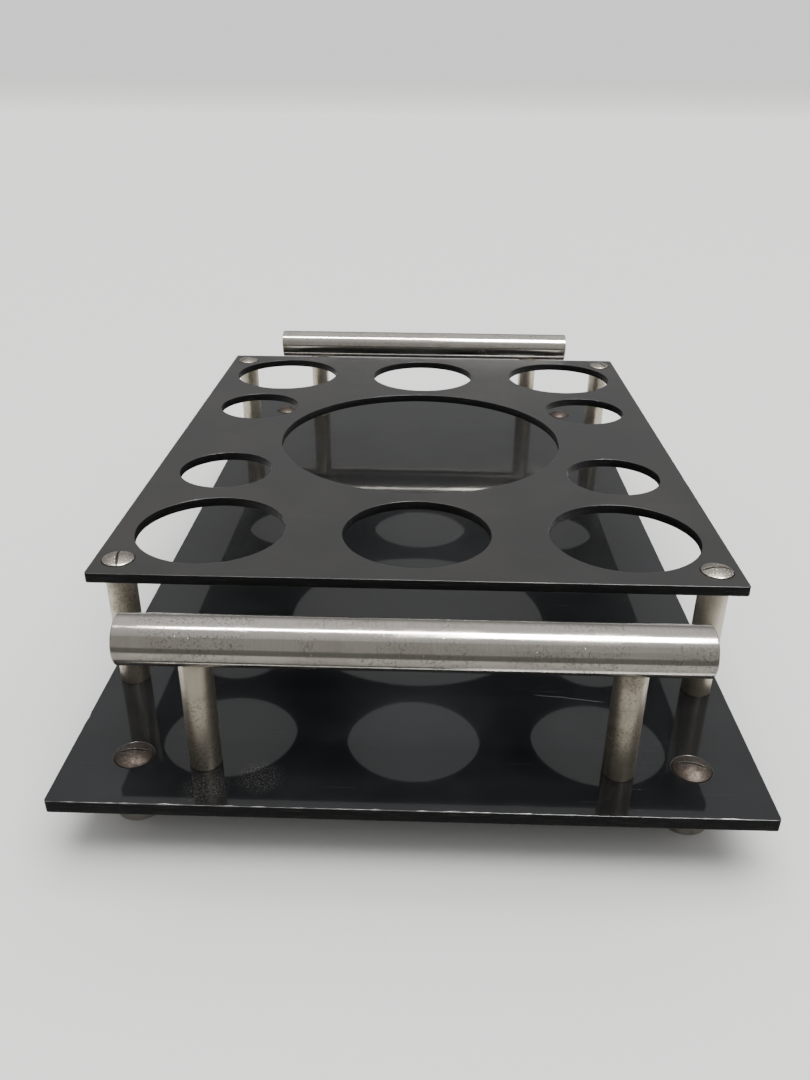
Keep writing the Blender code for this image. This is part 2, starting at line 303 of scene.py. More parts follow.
def marked(tree, shader, colour, *marks):
    """Give the shader a colour with marks laid over it, each as (mask, share, colour)."""
    for mask, share, other in marks:
        amount = add_node(tree, "ShaderNodeMath", {0: mask, 1: share}, operation="MULTIPLY")
        colour = add_node(tree, "ShaderNodeMix", {0: amount.outputs[0], 6: colour, 7: other},
                          data_type="RGBA").outputs[2]
    tree.links.new(colour, shader.inputs["Base Color"])


def roughened(tree, shader, rough, *masks):
    """Give the shader a roughness with a share of each mask added, each as (mask, share)."""
    for mask, share in masks:
        rough = add_node(tree, "ShaderNodeMath", {0: mask, 1: share, 2: rough},
                         operation="MULTIPLY_ADD").outputs[0]
    tree.links.new(rough, shader.inputs["Roughness"])


def embossed(tree, shader, *layers):
    """Give the shader a relief of layers, each as (height in 0..1, depth in metres)."""
    normal = None
    for height, depth in layers:
        links = {"Height": height, "Distance": depth, "Strength": 1.0}
        if normal is not None:
            links["Normal"] = normal
        normal = add_node(tree, "ShaderNodeBump", links).outputs["Normal"]
    tree.links.new(normal, shader.inputs["Normal"])
    return normal


def hairlines(tree, turns, width, length, share):
    """Sparse fine scratches in several directions; share is how rare they are, near 1."""
    total = 0.0
    for index, turn in enumerate(turns):
        noise = add_node(tree, "ShaderNodeTexNoise",
                         {"Vector": object_place(tree, (1 / length, 1 / width, 1.0), turn),
                          "Scale": 1.0, "Detail": 1.0, "W": float(index)},
                         noise_dimensions="4D")
        line = add_node(tree, "ShaderNodeMapRange",
                        {"Value": noise.outputs["Fac"], "From Min": share,
                         "From Max": share + 0.03}, interpolation_type="SMOOTHSTEP")
        total = add_node(tree, "ShaderNodeMath", {0: total, 1: line.outputs["Result"]},
                         operation="MAXIMUM").outputs[0]
    return total


def specks(tree, cell, radius, share):
    """Round specks: one cell in a few holds a speck of the given radius in metres."""
    dots = add_node(tree, "ShaderNodeTexVoronoi",
                    {"Vector": object_place(tree), "Scale": 1 / cell, "Randomness": 1.0})
    near = add_node(tree, "ShaderNodeMapRange",
                    {"Value": dots.outputs["Distance"], "From Min": radius / cell,
                     "From Max": radius / cell * 0.5}, interpolation_type="SMOOTHSTEP")
    red = add_node(tree, "ShaderNodeSeparateColor", {"Color": dots.outputs["Color"]})
    pick = add_node(tree, "ShaderNodeMapRange",
                    {"Value": red.outputs["Red"], "From Min": share, "From Max": share + 0.02},
                    interpolation_type="SMOOTHSTEP")
    return add_node(tree, "ShaderNodeMath",
                    {0: near.outputs["Result"], 1: pick.outputs["Result"]},
                    operation="MULTIPLY").outputs[0]


def deck_laminate():
    """Satin black phenolic laminate, pressed against a matt sheet: a soft sheen with fine grain."""
    look = finishes()
    material, tree, shader = start_material("satin_black_laminate")
    scratches = hairlines(tree, (8, 71, 124), 0.0005, 0.060, 0.72)
    # Pale arris line in patches: partly edge wear, partly a painted highlight along the deck's
    # edges.
    worn = on_part(tree, "arris", patches(tree, 0.018, (0.44, 0.64)))
    marked(tree, shader, look.deck,
           (patches(tree, 0.070, (0.42, 0.68), 4.0), 1.0, look.deck_tint),
           (scratches, 0.07, look.dust),
           (worn, 0.13, look.core))
    smudge = patches(tree, 0.045, (0.35, 0.70), levels=(0.29, 0.39))
    roughened(tree, shader, smudge, (scratches, 0.10))
    embossed(tree, shader, (patches(tree, 0.0006, detail=2.0), 0.000012), (scratches, -0.00002))
    return material


def sawn_edge():
    """Sawn edge of black laminate: dull, nearly black, with the paper layers just showing."""
    look = finishes()
    material, tree, shader = start_material("sawn_laminate_edge", specular=0.14)
    lying, upright = (0.03, 0.03, 1), (1, 1, 0.1)
    marked(tree, shader, look.edge,
           (patches(tree, 0.0004, (0.55, 0.72), 2.0, stretch=lying), 0.10, look.dust))
    roughened(tree, shader, patches(tree, 0.0006, (0.3, 0.7), 2.0, stretch=upright,
                                    levels=(0.45, 0.62)))
    embossed(tree, shader, (patches(tree, 0.0006, detail=2.0, stretch=upright), 0.00003),
             (patches(tree, 0.0004, detail=2.0, stretch=lying), 0.00004))
    return material


def base_laminate():
    """Gloss black laminate polished like glass, with dust, hairlines, a chipped arris and pale
    arrises that are part wear, part painted highlight.
    """
    look = finishes()
    material, tree, shader = start_material("gloss_black_laminate", specular=0.10)
    shader.inputs["Coat Weight"].default_value = 0.62
    shader.inputs["Coat Roughness"].default_value = 0.045
    scratches = hairlines(tree, (3, 52, 97, 151), 0.0004, 0.045, 0.75)
    dust = specks(tree, 0.0045, 0.00022, 0.72)
    film = patches(tree, 0.060, (0.40, 0.75), 4.0)
    scuff = scuffs(tree)
    # Pale arrises and foot-screw countersink rims: partly edge wear, partly a painted highlight;
    # the rims are painted evenly all round.
    worn = add_node(tree, "ShaderNodeMath",
                    {0: on_part(tree, "arris", patches(tree, 0.022, (0.48, 0.64), 4.0, 0.6)),
                     1: on_part(tree, "rim", 0.8)}, operation="MAXIMUM").outputs[0]
    marked(tree, shader, look.base,
           (film, 0.020, look.film),
           (scratches, 0.06, look.dust),
           (dust, 0.30, look.dust),
           (scuff, 0.55, look.dust),
           (long_scratch(tree, 0.00022), 0.60, look.core),
           (worn, 0.28, look.core),
           (on_part(tree, "nick"), 0.45, look.core))
    roughened(tree, shader, 0.34, (film, 0.12), (scuff, 0.10), (worn, 0.40), (dust, 0.30))
    relief = embossed(tree, shader, (scratches, -0.00002))
    tree.links.new(relief, shader.inputs["Coat Normal"])
    return material


# Marks on the base board: (x, y, radius) of each scuffed patch and the ends of one long scratch
SCUFFS = ((-0.086, -0.2535, 0.013), (-0.064, -0.2465, 0.013))
LONG_SCRATCH = ((0.057, -0.1835), (0.093, -0.1885))


def scuffs(tree):
    """Speckled patches where something stood or rubbed."""
    place = add_node(tree, "ShaderNodeTexCoord").outputs["Object"]
    total = 0.0
    for x, y, radius in SCUFFS:
        away = add_node(tree, "ShaderNodeVectorMath",
                        {0: place, 1: (x, y, high("base_plate").z)}, operation="DISTANCE")
        patch = add_node(tree, "ShaderNodeMapRange",
                         {"Value": away.outputs["Value"], "From Min": radius,
                          "From Max": radius * 0.35}, interpolation_type="SMOOTHSTEP")
        total = add_node(tree, "ShaderNodeMath", {0: total, 1: patch.outputs["Result"]},
                         operation="MAXIMUM").outputs[0]
    speckle = patches(tree, 0.0007, (0.50, 0.66), 4.0, 0.8)
    return add_node(tree, "ShaderNodeMath", {0: total, 1: speckle},
                    operation="MULTIPLY").outputs[0]


def long_scratch(tree, width):
    """Mask of one thin, slightly wavering scratch between two points of the board."""
    (x0, y0), (x1, y1) = LONG_SCRATCH
    along = Vector((x1 - x0, y1 - y0))
    half, waver = along.length / 2, 0.003
    place = add_node(tree, "ShaderNodeTexCoord").outputs["Object"]
    moved = add_node(tree, "ShaderNodeVectorMath",
                     {0: place, 1: ((x0 + x1) / 2, (y0 + y1) / 2, 0)}, operation="SUBTRACT")
    turned = add_node(tree, "ShaderNodeVectorRotate",
                      {"Vector": moved.outputs["Vector"],
                       "Angle": -math.atan2(along.y, along.x)}, rotation_type="Z_AXIS")
    parts = add_node(tree, "ShaderNodeSeparateXYZ", {"Vector": turned.outputs["Vector"]})
    wobble = add_node(tree, "ShaderNodeMath",
                      {0: patches(tree, 0.02, detail=2.0), 1: waver, 2: -0.5 * waver},
                      operation="MULTIPLY_ADD")
    across = add_node(tree, "ShaderNodeMath", {0: parts.outputs["Y"], 1: wobble.outputs[0]},
                      operation="ADD")
    masks = []
    for distance, start, end in ((across.outputs[0], width, width * 0.4),
                                 (parts.outputs["X"], half, half * 0.7)):
        size = add_node(tree, "ShaderNodeMath", {0: distance}, operation="ABSOLUTE")
        masks.append(add_node(tree, "ShaderNodeMapRange",
                              {"Value": size.outputs[0], "From Min": start, "From Max": end},
                              interpolation_type="SMOOTHSTEP").outputs["Result"])
    return add_node(tree, "ShaderNodeMath", {0: masks[0], 1: masks[1]},
                    operation="MULTIPLY").outputs[0]


def aluminium(name, clean, tarnish, stretch, roughness, tarnish_share, line_depth):
    """Aluminium rod: fine lines along its stretch, dull patches, grey bloom and small pits."""
    look = finishes()
    material, tree, shader = start_material(name, 1.0)
    lines = patches(tree, 0.00050, None, 3.0, 0.65, stretch)
    streaks = patches(tree, 0.00050, (0.50, 0.72), 3.0, 0.65, stretch)
    dull = patches(tree, 0.016, (0.45, 0.72), 5.0, 0.6)
    crowd = patches(tree, 0.022, (0.42, 0.58), 2.0)
    pits, bloom = (add_node(tree, "ShaderNodeMath", {0: mask, 1: crowd},
                            operation="MULTIPLY").outputs[0]
                   for mask in (specks(tree, 0.0026, 0.00036, 0.66),
                                patches(tree, 0.0012, (0.50, 0.62), 5.0, 0.75)))
    marked(tree, shader, clean,
           (dull, tarnish_share, tarnish),
           (streaks, 0.30, tarnish),
           (bloom, 0.50, look.pit),
           (pits, 0.90, look.pit))
    roughened(tree, shader, roughness - 0.03, (lines, 0.06), (dull, 0.07), (bloom, 0.12),
              (pits, 0.30))
    embossed(tree, shader, (lines, line_depth), (pits, -0.00008))
    return material


def turned_aluminium():
    """Aluminium faced in a lathe: fine rings round its axis, slightly dull."""
    look = finishes()
    material, tree, shader = start_material("turned_aluminium", 1.0)
    rings = add_node(tree, "ShaderNodeTexNoise",
                     {"W": on_part(tree, "reach", 1 / 0.00035), "Scale": 1.0, "Detail": 2.0},
                     noise_dimensions="1D").outputs["Fac"]
    dark = add_node(tree, "ShaderNodeMapRange",
                    {"Value": rings, "From Min": 0.55, "From Max": 0.70},
                    interpolation_type="SMOOTHSTEP").outputs["Result"]
    dull = patches(tree, 0.010, (0.40, 0.70), 4.0)
    marked(tree, shader, look.aluminium, (dull, 1.0, look.tarnish), (dark, 0.25, look.pit))
    roughened(tree, shader, 0.30, (dull, 0.14))
    embossed(tree, shader, (rings, 0.00003))
    return material


def tarnished_screw():
    """Plated steel gone dull: mottled grey with bright worn specks and dirt in the slot."""
    look = finishes()
    material, tree, shader = start_material("tarnished_plated_steel", 1.0)
    mottle = patches(tree, 0.0022, (0.40, 0.62), 5.0, 0.75)
    spots = patches(tree, 0.0007, (0.56, 0.68), 3.0, 0.6)
    bright = patches(tree, 0.0009, (0.66, 0.74), 2.0)
    faint = add_node(tree, "ShaderNodeMath", {0: spots, 1: 0.40}, operation="MULTIPLY")
    dirt = add_node(tree, "ShaderNodeMath", {0: on_part(tree, "dirt"), 1: faint.outputs[0]},
                    operation="MAXIMUM").outputs[0]
    marked(tree, shader, look.screw,
           (mottle, 0.75, look.screw_dark),
           (bright, 1.0, look.aluminium),
           (dirt, 1.0, look.grime))
    roughened(tree, shader, 0.24, (mottle, 0.20), (dirt, 0.25))
    height = add_node(tree, "ShaderNodeMath", {0: bright, 1: spots}, operation="SUBTRACT")
    embossed(tree, shader, (height.outputs[0], 0.00006))
    return material


def rusted_screw():
    """Steel brown with surface rust; the slot's lips are painted pale, part rubbed wear and part
    painted highlight.
    """
    look = finishes()
    material, tree, shader = start_material("rusted_steel", 0.60)
    deep = patches(tree, 0.0040, (0.40, 0.64), 5.0, 0.7)
    bare = patches(tree, 0.0008, (0.52, 0.66), 4.0, 0.8)
    # Slot lips painted pale: partly rubbed wear, partly a painted highlight, stronger where the
    # rust is bare.
    rubbed = add_node(tree, "ShaderNodeMapRange",
                      {"Value": bare, "From Min": 0.0, "From Max": 0.5, "To Min": 0.25,
                       "To Max": 1.0}, interpolation_type="SMOOTHSTEP").outputs["Result"]
    marked(tree, shader, look.rust,
           (deep, 1.0, look.rust_dark),
           (bare, 0.45, look.rust_bright),
           (on_part(tree, "dirt"), 1.0, look.grime),
           (on_part(tree, "lip", rubbed), 1.0, look.core))
    roughened(tree, shader, 0.46, (deep, 0.20))
    embossed(tree, shader, (patches(tree, 0.0006, None, 4.0, 0.7), 0.00010))
    return material


def stage_paper(name, setting):
    """Plain matt paper for the stage, in the colour of one of its settings."""
    material, _, shader = start_material(name, specular=0.2)
    colour = getattr(bpy.context.scene.vessel_rack_stage, setting)
    shader.inputs["Base Color"].default_value = (*colour, 1.0)
    shader.inputs["Roughness"].default_value = 0.9
    return material


FINISHES = {}
FINISH_MAKERS = {
    "deck": deck_laminate,
    "base": base_laminate,
    "edge": sawn_edge,
    # Turned and polished: the lines run round the bar. Drawn: they run up the post.
    "bar": lambda: aluminium("turned_aluminium_bar", finishes().aluminium, finishes().tarnish,
                             (1, 0.08, 0.08), 0.12, 0.40, 0.000012),
    "post": lambda: aluminium("drawn_aluminium_post", finishes().post, finishes().post_tarnish,
                              (1, 1, 0.012), 0.34, 0.80, 0.000018),
    "foot": turned_aluminium,
    "screw": tarnished_screw,
    "rust": rusted_screw,
    "floor": lambda: stage_paper("pale_paper", "floor"),
    "near_flag": lambda: stage_paper("light_grey_paper", "near_flag"),
    "low_flag": lambda: stage_paper("dark_paper", "low_flag"),
    "high_flag": lambda: stage_paper("grey_paper", "high_flag"),
}


def finish(key):
    """The material of that name, made once."""
    if key not in FINISHES:
        FINISHES[key] = FINISH_MAKERS[key]()
    return FINISHES[key]


# ---------------------------------------------------------------- mesh building

def add_piece(name, mesh, *materials):
    """Link a finished mesh as an object at the origin."""
    item = bpy.data.objects.new(name, mesh)
    if materials and len(mesh.materials):
        mesh.materials.clear()    # this also sends every face back to the first material
    for material in materials:
        mesh.materials.append(material)
    bpy.context.scene.collection.objects.link(item)
    return item


def evaluated_mesh(item, name):
    """Plain mesh of an object as its modifiers leave it."""
    depsgraph = bpy.context.evaluated_depsgraph_get()
    mesh = bpy.data.meshes.new_from_object(item.evaluated_get(depsgraph))
    mesh.name = name
    return mesh


def settle(item, slot, *nodes):
    """Let a finished piece ride on the frame and stand for its nodes."""
    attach(item, BODY)
    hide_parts(*nodes)


def rounded_rectangle(width, length, corner, centre_y, spacing, corner_steps=8):
    """Points of a rectangle with round corners, each with its outward direction."""
    points = []
    half = Vector((width / 2 - corner, length / 2 - corner))
    signs = ((1, 1), (-1, 1), (-1, -1), (1, -1))
    for index, (sx, sy) in enumerate(signs):
        centre = Vector((sx * half.x, sy * half.y + centre_y))
        for step in range(corner_steps + 1):
            turn = (index + step / corner_steps) * math.pi / 2
            out = Vector((math.cos(turn), math.sin(turn)))
            points.append((centre + corner * out, out))
        after = signs[(index + 1) % 4]
        target = Vector((after[0] * half.x, after[1] * half.y + centre_y)) + corner * out
        start = points[-1][0]
        count = max(1, round((target - start).length / spacing))
        points += [(start.lerp(target, k / count), out) for k in range(1, count)]
    return points


def edge_rings(top, bottom, radius, steps=3):
    """Rings down a sheet's edge, as (inset, height, on an arris)."""
    arc = [(radius * (1 - math.sin(k / steps * math.pi / 2)),
            radius * (1 - math.cos(k / steps * math.pi / 2))) for k in range(steps + 1)]
    down = [(inset, top - drop) for inset, drop in arc]
    up = [(inset, bottom + drop) for inset, drop in reversed(arc)]
    return down + up


def sink_rings(top, bottom, radius, head_radius, hole_radius):
    """Rings down a countersunk hole whose outline is the plain hole's circle."""
    mouth = head_radius - hole_radius
    return [(mouth + radius, top), (mouth + radius * 0.3, top - radius * 0.3),
            (mouth, top - radius), (0.0, top - mouth), (0.0, bottom + radius),
            (radius, bottom)]


def loop_of_rings(work, outline, rings, swell=None):
    """Faces down one edge; swell gives each point its own nick depth. Returns rows of points."""
    rows = []
    for index, (inset, height) in enumerate(rings):
        row = []
        for number, (point, out) in enumerate(outline):
            nick = drop = 0.0
            if swell is not None and index < len(rings) // 2:
                fade = 1 - index / (len(rings) // 2)
                nick = swell[number] * fade
                drop = swell[number] * 0.55 * (1 - fade)
            place = point - out * (inset + nick)
            row.append(work.verts.new((place.x, place.y, height - drop)))
        rows.append(row)
    return rows


def sheet_mesh(name, edges, swells):
    """Flat board with rounded arrises, from (outline, rings, bright rim) for each edge."""
    work = bmesh.new()
    arris, nick, rim = (work.faces.layers.float.new(key) for key in ("arris", "nick", "rim"))
    borders = ([], [])
    for (outline, rings, bright), swell in zip(edges, swells):
        rows = loop_of_rings(work, outline, rings, swell)
        count = len(outline)
        for index, (upper, lower) in enumerate(zip(rows, rows[1:])):
            flat_side = index == len(rows) // 2 - 1
            for i in range(count):
                j = (i + 1) % count
                face = work.faces.new((upper[i], lower[i], lower[j], upper[j]))
                face.material_index = int(flat_side)
                # The mouth of each foot-screw countersink gets an even pale ring: partly wear,
                # partly a painted highlight.
                face[rim] = float(bright and index < 2)
                # Arrises get pale paint, a full share on top and 0.3 below: partly wear, partly a
                # painted highlight that is stronger on top.
                face[arris] = 0.0 if flat_side else (1.0 if index < len(rows) // 2 else 0.3)
                if swell is not None and index < len(rows) // 2 - 1:
                    depth = max(swell[i], swell[j])
                    face[nick] = min(1.0, depth / boards().nick_depth * 2)
        for border, row in ((borders[0], rows[0]), (borders[1], rows[-1])):
            border += [work.edges.get((row[i], row[(i + 1) % count])) for i in range(count)]
    for border in borders:
        bmesh.ops.triangle_fill(work, use_beauty=True, use_dissolve=False, edges=border)
        for edge in border:
            edge.smooth = False
    bmesh.ops.recalc_face_normals(work, faces=work.faces)
    for face in work.faces:
        face.smooth = abs(face.normal.z) < 0.9999
    mesh = bpy.data.meshes.new(name)
    work.to_mesh(mesh)
    work.free()
    return mesh


def nick_depths(outline, seed, share_front, depth):
    """How deep each point of an outline is chipped: more along the front edge and at corners."""
    source = random.Random(seed)
    depths = [0.0] * len(outline)
    front = min(point.y for point, _ in outline)
    count = len(outline)
    for number, (point, _) in enumerate(outline):
        near_front = point.y < front + 0.004
        if source.random() > (share_front if near_front else share_front * 0.25):
            continue
        size = depth * source.random() ** 2.2
        reach = source.choice((1, 1, 2, 3))
        for step in range(-reach, reach + 1):
            fall = 1 - abs(step) / (reach + 1)
            spot = (number + step) % count
            depths[spot] = max(depths[spot], size * fall * source.uniform(0.7, 1.0))
    return depths


def eased(points, radius, steps=3):
    """Round each inner corner of a turned profile of (reach, height) points."""
    result = [Vector(points[0])]
    for before, here, after in zip(points, points[1:], points[2:]):
        before, here, after = Vector(before), Vector(here), Vector(after)
        back, ahead = before - here, after - here
        cut = min(radius, back.length * 0.45, ahead.length * 0.45)
        start, end = here + back.normalized() * cut, here + ahead.normalized() * cut
        for step in range(steps + 1):
            t = step / steps
            result.append((1 - t) ** 2 * start + 2 * t * (1 - t) * here + t * t * end)
    result.append(Vector(points[-1]))
    return result


def lathe(name, profile, segments, ring=False, thread=None):
    """Turn a profile about Z. thread is (low, high, pitch, depth) of a threaded stretch."""
    work = bmesh.new()
    reach, _, _ = (work.verts.layers.float.new(key) for key in ("reach", "dirt", "lip"))
    rows = []
    for radius, height in profile:
        if radius < 1e-7:
            row = [work.verts.new((0, 0, height))] * segments
        else:
            row = []
            for step in range(segments):
                turn = FULL_TURN * step / segments
                here = radius
                if thread is not None and thread[0] < height < thread[1]:
                    phase = (height / thread[2] - step / segments) % 1.0
                    fade = min(1.0, (height - thread[0]) / thread[2],
                               (thread[1] - height) / thread[2])
                    here -= thread[3] * abs(2 * phase - 1) * fade
                row.append(work.verts.new((here * math.cos(turn), here * math.sin(turn), height)))
        for vert in row:
            vert[reach] = radius + abs(height)
        rows.append(row)
    if ring:
        rows.append(rows[0])
    for upper, lower in zip(rows, rows[1:]):
        for i in range(segments):
            j = (i + 1) % segments
            corners = []
            for vert in (upper[i], lower[i], lower[j], upper[j]):
                if vert not in corners:
                    corners.append(vert)
            if len(corners) > 2:
                work.faces.new(corners)
    bmesh.ops.recalc_face_normals(work, faces=work.faces)
    mesh = bpy.data.meshes.new(name)
    work.to_mesh(mesh)
    work.free()
    return mesh


def smooth(mesh, degrees=32):
    """Shade smooth, with creases sharper than the angle left crisp."""
    mesh.shade_smooth()
    mesh.set_sharp_from_angle(angle=math.radians(degrees))


def cut_away(mesh, cutter, name):
    """Take a cutter mesh away from a mesh, exactly."""
    body = add_piece(name, mesh)
    tool = add_piece(name + "_cutter", cutter)
    boolean = body.modifiers.new("Cut", "BOOLEAN")
    boolean.operation = "DIFFERENCE"
    boolean.solver = "EXACT"
    boolean.object = tool
    bpy.context.view_layer.update()
    result = evaluated_mesh(body, name)
    bpy.data.objects.remove(body, do_unlink=True)
    bpy.data.objects.remove(tool, do_unlink=True)
    return result


def box_mesh(name, size, centre):
    """Box, used as a cutter."""
    work = bmesh.new()
    matrix = Matrix.Translation(centre) @ Matrix.Diagonal((*size, 1.0))
    bmesh.ops.create_cube(work, size=1.0, matrix=matrix)
    mesh = bpy.data.meshes.new(name)
    work.to_mesh(mesh)
    work.free()
    return mesh


def rod_mesh(name, radius, length, matrix, segments):
    """Cylinder, used as a cutter."""
    work = bmesh.new()
    bmesh.ops.create_cone(work, cap_ends=True, segments=segments, radius1=radius,
                          radius2=radius, depth=length, matrix=matrix)
    mesh = bpy.data.meshes.new(name)
    work.to_mesh(mesh)
    work.free()
    return mesh


def slot_head(mesh, name, crown, width, depth, reach):
    """Saw a slot across a head, ease its lips and mark its dirt."""
    tool = box_mesh(name + "_saw", (reach * 3, width, depth * 2), Vector((0, 0, crown)))
    mesh = cut_away(mesh, tool, name)
    work = bmesh.new()
    work.from_mesh(mesh)
    floor = crown - depth
    lips = [edge for edge in work.edges
            if len(edge.link_faces) == 2 and edge.calc_face_angle() > math.radians(38)
            and all(vert.co.z > floor + 1e-5 for vert in edge.verts)
            and all(abs(abs(vert.co.y) - width / 2) < 1e-5 for vert in edge.verts)]
    eased_lips = bmesh.ops.bevel(work, geom=lips, offset=0.00014, segments=2, profile=0.5,
                                 affect="EDGES")
    dirt, lip = (work.verts.layers.float.get(key) for key in ("dirt", "lip"))
    for vert in work.verts:
        in_slot = abs(vert.co.y) < width / 2 + 1e-5 and vert.co.z < floor + depth * 0.5
        vert[dirt] = 0.85 if in_slot else 0.0
    # Lips marked here are painted pale on the rusted screws: partly wear, partly a painted
    # highlight.
    for vert in eased_lips["verts"]:
        vert[lip] = 1.0
    work.to_mesh(mesh)
    work.free()
    return mesh


# ---------------------------------------------------------------- geometry node trees

def tree_input(tree, name, kind, default=None):
    """Named input of a geometry node tree."""
    socket = tree.interface.new_socket(name=name, in_out="INPUT", socket_type=kind)
    if default is not None:
        socket.default_value = default
    return socket


def grid_of_points(tree, source, columns, rows):
    """Points on a grid of the tree's Half Across, Half Along and Middle Along inputs."""
    wide, deep = (add_node(tree, "ShaderNodeMath", {0: source[name], 1: 2.0},
                           operation="MULTIPLY").outputs[0]
                  for name in ("Half Across", "Half Along"))
    grid = add_node(tree, "GeometryNodeMeshGrid",
                    {"Size X": wide, "Size Y": deep, "Vertices X": columns, "Vertices Y": rows})
    shift = add_node(tree, "ShaderNodeCombineXYZ", {"Y": source["Middle Along"]})
    return add_node(tree, "GeometryNodeTransform",
                    {"Geometry": grid.outputs["Mesh"],
                     "Translation": shift.outputs[0]}).outputs["Geometry"]


def end_tree(tree, copies, material):
    """Make copies real, give them their material and send them out of the tree."""
    tree.interface.new_socket(name="Geometry", in_out="OUTPUT", socket_type="NodeSocketGeometry")
    solid = add_node(tree, "GeometryNodeRealizeInstances",
                     {"Geometry": copies.outputs["Instances"]})
    dressed = add_node(tree, "GeometryNodeSetMaterial",
                       {"Geometry": solid.outputs["Geometry"], "Material": material})
    sink = tree.nodes.new("NodeGroupOutput")
    tree.links.new(dressed.outputs["Geometry"], sink.inputs["Geometry"])


def holes_tree():
    """Tree that lays out the outlines of equal round holes in columns and rows."""
    found = bpy.data.node_groups.get("Round holes")
    if found is not None:
        return found
    tree = bpy.data.node_groups.new("Round holes", "GeometryNodeTree")
    for name in ("Diameter", "Half Across", "Half Along", "Middle Along"):
        tree_input(tree, name, "NodeSocketFloat", 0.1)
    for name in ("Flats", "Columns", "Rows"):
        tree_input(tree, name, "NodeSocketInt", 2)
    tree_input(tree, "Material", "NodeSocketMaterial")
    source = tree.nodes.new("NodeGroupInput").outputs
    points = grid_of_points(tree, source, source["Columns"], source["Rows"])
    radius = add_node(tree, "ShaderNodeMath", {0: source["Diameter"], 1: 0.5},
                      operation="MULTIPLY").outputs[0]
    outline = add_node(tree, "GeometryNodeMeshCircle",
                       {"Vertices": source["Flats"], "Radius": radius})
    copies = add_node(tree, "GeometryNodeInstanceOnPoints",
                      {"Points": points, "Instance": outline.outputs["Mesh"]})
    end_tree(tree, copies, source["Material"])
    return tree


def corner_tree():
    """Tree that sets a piece at the four corners of a rectangle, each with its own turn."""
    found = bpy.data.node_groups.get("Four corners")
    if found is not None:
        return found
    tree = bpy.data.node_groups.new("Four corners", "GeometryNodeTree")
    tree_input(tree, "Geometry", "NodeSocketGeometry")
    for name in ("Half Across", "Half Along", "Middle Along"):
        tree_input(tree, name, "NodeSocketFloat", 0.1)
    for corner in CORNERS:
        tree_input(tree, "Turn " + corner, "NodeSocketFloat", 0.0)
    tree_input(tree, "Material", "NodeSocketMaterial")
    source = tree.nodes.new("NodeGroupInput").outputs
    points = grid_of_points(tree, source, 2, 2)
    pick = add_node(tree, "GeometryNodeIndexSwitch", data_type="FLOAT")
    while len(pick.index_switch_items) < len(CORNERS):
        pick.index_switch_items.new()
    tree.links.new(add_node(tree, "GeometryNodeInputIndex").outputs[0], pick.inputs["Index"])
    for number, corner in enumerate(("front_left", "rear_left", "front_right", "rear_right")):
        tree.links.new(source["Turn " + corner], pick.inputs[number + 1])
    turn = add_node(tree, "ShaderNodeCombineXYZ", {"Z": pick.outputs[0]})
    turn = add_node(tree, "FunctionNodeEulerToRotation", {"Euler": turn.outputs[0]})
    copies = add_node(tree, "GeometryNodeInstanceOnPoints",
                      {"Points": points, "Instance": source["Geometry"],
                       "Rotation": turn.outputs[0]})
    end_tree(tree, copies, source["Material"])
    return tree


def set_tree_inputs(modifier, values):
    """Set a modifier's tree inputs by their names, through the sockets' identifiers."""
    for socket in modifier.node_group.interface.items_tree:
        if socket.item_type == "SOCKET" and socket.in_out == "INPUT" and socket.name in values:
            modifier[socket.identifier] = values[socket.name]


def four_corners(name, mesh, stem, material, slot, turns=(0.0, 0.0, 0.0, 0.0)):
    """Copy a master mesh to the four corners of a node set and settle the result."""
    half_across, half_along, middle_along = set_spread(stem)
    master = add_piece(name + "_master", mesh)
    modifier = master.modifiers.new("Four corners", "NODES")
    modifier.node_group = corner_tree()
    values = {"Half Across": half_across, "Half Along": half_along,
              "Middle Along": middle_along, "Material": material}
    values.update({"Turn " + key: math.radians(turn) for key, turn in zip(CORNERS, turns)})
    set_tree_inputs(modifier, values)
    bpy.context.view_layer.update()
    result = evaluated_mesh(master, name)
    bpy.data.objects.remove(master, do_unlink=True)
    piece = add_piece(name, result, material)
    smooth(result)
    settle(piece, slot, *corner_nodes(stem))
    return piece


# ---------------------------------------------------------------- pieces

def hole_outlines(diameter, flats, spread, columns=2, rows=2):
    """Outlines of equal round holes, each point with the direction towards its hole's middle.

    spread is half the pattern across, half of it along, and its middle along.
    """
    host = add_piece("hole_pattern", bpy.data.meshes.new("hole_pattern"))
    modifier = host.modifiers.new("Round holes", "NODES")
    modifier.node_group = holes_tree()
    half_across, half_along, middle_along = spread
    set_tree_inputs(modifier, {"Diameter": diameter, "Flats": flats, "Columns": columns,
                               "Rows": rows, "Half Across": half_across,
                               "Half Along": half_along, "Middle Along": middle_along,
                               "Material": finish("edge")})
    bpy.context.view_layer.update()
    pattern = evaluated_mesh(host, "hole_pattern")
    bpy.data.objects.remove(host, do_unlink=True)
    places = [vert.co.xy for vert in pattern.vertices]
    if len(places) != flats * columns * rows:
        raise RuntimeError("the hole pattern has the wrong number of holes")
    outlines = []
    for start in range(0, len(places), flats):
        loop = places[start:start + flats]
        centre = sum(loop, Vector((0, 0))) / flats
        outlines.append([(place, (centre - place).normalized()) for place in loop])
    return outlines


def deck_openings():
    """Outlines of the round holes in the deck."""
    sizes = boards()
    shift = middle("top_plate").y
    return (hole_outlines(sizes.centre_hole, 192, (0.0, 0.0, shift), 1, 1)
            + hole_outlines(sizes.large_hole, 112,
                            (sizes.large_across, sizes.large_along, shift), 3, 2)
            + hole_outlines(sizes.small_hole, 88,
                            (sizes.small_across, sizes.small_along, shift)))


def screw_holes(stem, hole_diameter, head_diameter, top, bottom, arris, bright):
    """Countersunk holes of a screw set, as (outline, rings, bright rim)."""
    rings = sink_rings(top, bottom, arris, head_diameter / 2, hole_diameter / 2)
    return [(outline, rings, bright)
            for outline in hole_outlines(hole_diameter, 64, set_spread(stem))]


